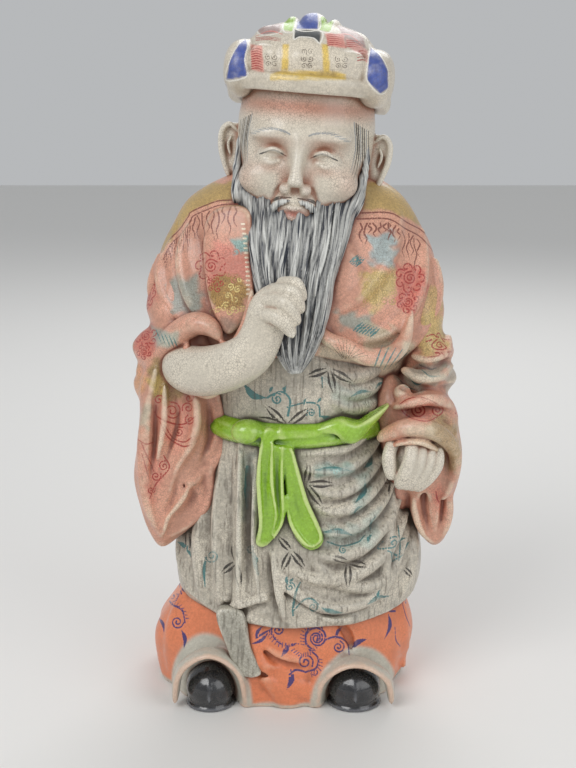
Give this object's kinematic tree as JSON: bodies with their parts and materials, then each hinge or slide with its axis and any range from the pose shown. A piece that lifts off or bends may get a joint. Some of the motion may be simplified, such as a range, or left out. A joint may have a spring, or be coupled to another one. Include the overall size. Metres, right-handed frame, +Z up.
{
  "type": "porcelain figure",
  "caption": "Standing figure of a bearded sage in layered robes and a padded hat, cast in one piece, with one hand at the beard; it rests on its flat underside.",
  "frame": {"origin": "centre of the bounding box, at the level of the underside", "axes": "+X towards the viewer's right, -Y towards the front, +Z up"},
  "size_m": [0.166, 0.126, 0.34],
  "materials": {
    "glaze": "satin crackle glaze with painted enamels"
  },
  "bodies": {
    "root": {"figure": "glaze"}
  },
  "joints": []
}
